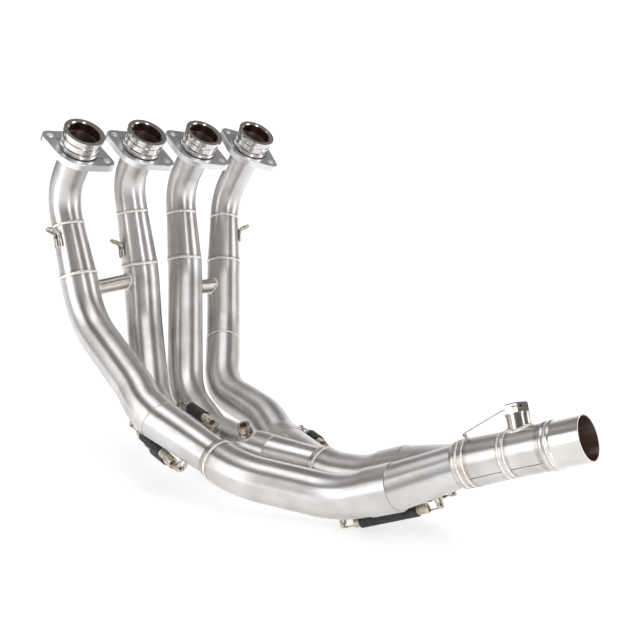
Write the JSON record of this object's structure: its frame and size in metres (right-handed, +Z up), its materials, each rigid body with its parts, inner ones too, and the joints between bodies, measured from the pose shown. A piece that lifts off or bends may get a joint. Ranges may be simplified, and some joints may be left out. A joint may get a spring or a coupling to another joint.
{
  "type": "motorcycle exhaust header",
  "caption": "Stainless exhaust header for an inline engine: the primaries join in pairs, then into one outlet, with loose port flanges and a plugged sensor boss.",
  "frame": {"origin": "centre of the sealing face of port 1", "axes": "+X rearward along the machine, +Y along the row of ports from port 1 to port 4, +Z up"},
  "size_m": [0.7129, 0.3337, 0.4283],
  "materials": {
    "flange_steel": "satin, laser-cut edge",
    "formed_steel": "satin stainless, formed sheet",
    "plug_steel": "machined, bright",
    "rod_steel": "bent rod, heat-tinted at the weld",
    "sleeve_rubber": "matt silicone hose",
    "spring_steel": "drawn wire, satin",
    "tube_steel": "satin stainless, brushed along the tube",
    "turned_steel": "turned, fine rings",
    "wire_steel": "drawn wire"
  },
  "bodies": {
    "root": {"balance_tube_12": "tube_steel", "balance_tube_34": "tube_steel", "collar_1": "turned_steel", "collar_2": "turned_steel", "collar_3": "turned_steel", "collar_4": "turned_steel", "collector_left": "formed_steel", "collector_right": "formed_steel", "cone_1": "tube_steel", "cone_2": "tube_steel", "cone_3": "tube_steel", "cone_4": "tube_steel", "final_collector": "formed_steel", "flange_1": "flange_steel", "flange_2": "flange_steel", "flange_3": "flange_steel", "flange_4": "flange_steel", "hook_1": "rod_steel", "hook_2": "rod_steel", "hook_4": "rod_steel", "lock_wire": "wire_steel", "lower_pipe_1": "tube_steel", "lower_pipe_2": "tube_steel", "lower_pipe_3": "tube_steel", "lower_pipe_4": "tube_steel", "lugs_1": "rod_steel", "lugs_2": "rod_steel", "lugs_3": "rod_steel", "lugs_4": "rod_steel", "lugs_5": "rod_steel", "lugs_6": "rod_steel", "lugs_7": "rod_steel", "outlet_cone": "tube_steel", "outlet_sleeve": "formed_steel", "outlet_tube": "tube_steel", "secondary_left": "tube_steel", "secondary_right": "tube_steel", "sensor_boss": "turned_steel", "sensor_plug": "plug_steel", "spring_1": "spring_steel", "spring_2": "spring_steel", "spring_3": "spring_steel", "spring_4": "spring_steel", "spring_5": "spring_steel", "spring_6": "spring_steel", "spring_7": "spring_steel", "spring_sleeve_1": "sleeve_rubber", "spring_sleeve_2": "sleeve_rubber", "spring_sleeve_3": "sleeve_rubber", "spring_sleeve_4": "sleeve_rubber", "spring_sleeve_5": "sleeve_rubber", "spring_sleeve_6": "sleeve_rubber", "spring_sleeve_7": "sleeve_rubber", "test_boss": "turned_steel", "test_plug": "plug_steel", "upper_bend_1": "tube_steel", "upper_bend_2": "tube_steel", "upper_bend_3": "tube_steel", "upper_bend_4": "tube_steel", "wire_tab": "rod_steel"}
  },
  "joints": []
}
